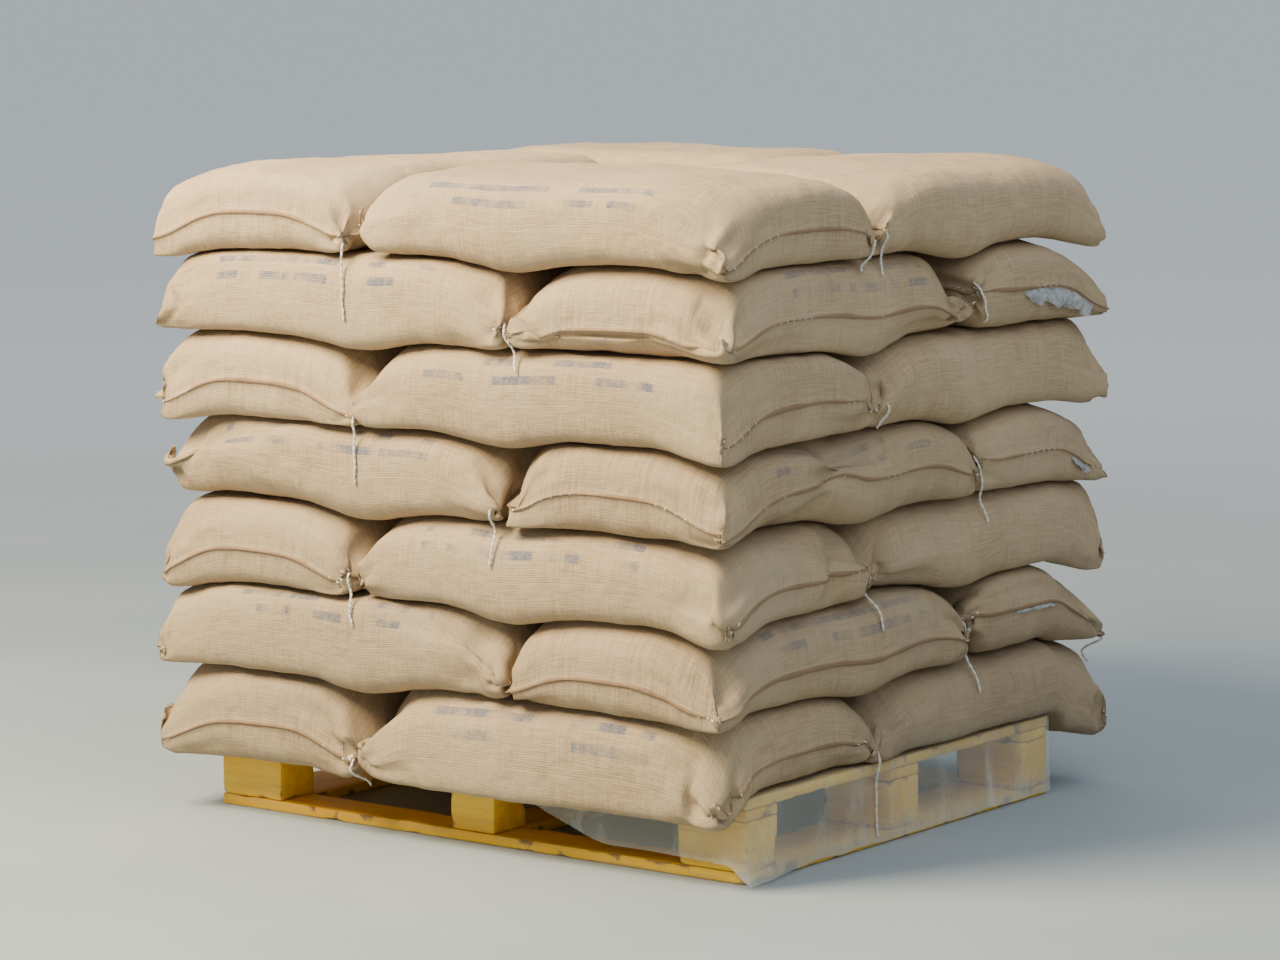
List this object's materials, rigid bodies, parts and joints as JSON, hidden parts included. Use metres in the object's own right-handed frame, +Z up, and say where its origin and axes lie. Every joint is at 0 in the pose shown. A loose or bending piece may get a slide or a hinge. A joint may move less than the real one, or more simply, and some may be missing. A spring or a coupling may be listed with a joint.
{
  "type": "pallet of sacks",
  "caption": "Filled jute sacks stacked flat in crossed layers on a painted four-way timber pallet, with a sheet of clear film over the deck that hangs down one side.",
  "frame": {"origin": "on the floor, under the middle of the load; the pallet stands a little to the right of it and in front of the middle because the load overhangs unevenly", "axes": "+X along the pallet's long side, towards the side that the film hangs down; +Y away from the front long side; +Z up"},
  "size_m": [1.2698, 1.2698, 1.2163],
  "materials": {
    "jute": "coarse woven jute, dry and dusty",
    "painted_timber": "orange-yellow paint on sawn timber, worn at the edges",
    "film": "thin clear polythene, creased and dusty"
  },
  "bodies": {
    "root": {"block_back_left": "painted_timber", "block_back_middle": "painted_timber", "block_back_right": "painted_timber", "block_front_left": "painted_timber", "block_front_middle": "painted_timber", "block_front_right": "painted_timber", "block_middle_left": "painted_timber", "block_middle_middle": "painted_timber", "block_middle_right": "painted_timber", "bottom_board_back": "painted_timber", "bottom_board_front": "painted_timber", "bottom_cross_board_left": "painted_timber", "bottom_cross_board_middle": "painted_timber", "bottom_cross_board_right": "painted_timber", "deck_board_1": "painted_timber", "deck_board_2": "painted_timber", "deck_board_3": "painted_timber", "deck_board_4": "painted_timber", "deck_board_5": "painted_timber", "deck_board_6": "painted_timber", "deck_board_7": "painted_timber", "film_sheet": "film", "sack_1_back": "jute", "sack_1_front": "jute", "sack_1_left": "jute", "sack_1_right": "jute", "sack_2_back": "jute", "sack_2_front": "jute", "sack_2_left": "jute", "sack_2_right": "jute", "sack_3_back": "jute", "sack_3_front": "jute", "sack_3_left": "jute", "sack_3_right": "jute", "sack_4_back": "jute", "sack_4_front": "jute", "sack_4_left": "jute", "sack_4_right": "jute", "sack_5_back": "jute", "sack_5_front": "jute", "sack_5_left": "jute", "sack_5_right": "jute", "sack_6_back": "jute", "sack_6_front": "jute", "sack_6_left": "jute", "sack_6_right": "jute", "sack_7_back": "jute", "sack_7_front": "jute", "sack_7_left": "jute", "sack_7_right": "jute", "stringer_back": "painted_timber", "stringer_front": "painted_timber", "stringer_middle": "painted_timber"}
  },
  "joints": []
}
